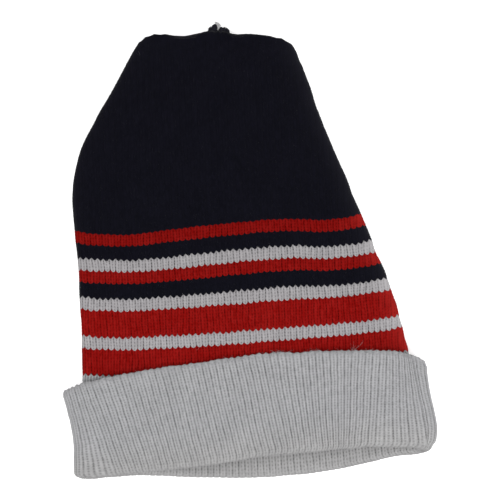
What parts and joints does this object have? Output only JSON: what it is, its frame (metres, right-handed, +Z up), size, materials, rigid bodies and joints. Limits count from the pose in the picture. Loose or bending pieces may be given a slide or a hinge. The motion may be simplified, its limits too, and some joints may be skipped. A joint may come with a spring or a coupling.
{
  "type": "beanie",
  "caption": "Knitted beanie lying flat on its back, tapered dark crown gathered into a knot, coloured stripes and a turned-up ribbed cuff, hollow and open at the mouth.",
  "frame": {"origin": "middle of the lying hat's box, on the surface that it lies on", "axes": "+Y from the mouth to the gathered end of the crown, +X to the right of somebody who looks down on the hat's front, +Z up from the surface"},
  "size_m": [0.2266, 0.2742, 0.022],
  "materials": {
    "navy_yarn": "matte smooth knit, near-black navy, slightly fuzzy",
    "red_yarn": "matte smooth knit, deep red",
    "white_yarn": "matte smooth knit, greyish white",
    "cuff_yarn": "matte ribbed knit, light grey",
    "pale_yarn": "matte pale yarn, cut end"
  },
  "bodies": {
    "root": {"crown_navy": "navy_yarn", "stripe_red_1": "red_yarn", "stripe_navy_1": "navy_yarn", "stripe_white_1": "white_yarn", "stripe_red_2": "red_yarn", "stripe_navy_2": "navy_yarn", "stripe_white_2": "white_yarn", "stripe_red_wide": "red_yarn", "stripe_white_3": "white_yarn", "stripe_red_4": "red_yarn", "cuff_rib": "cuff_yarn", "top_knot": "navy_yarn", "yarn_tail": "pale_yarn"}
  },
  "joints": []
}
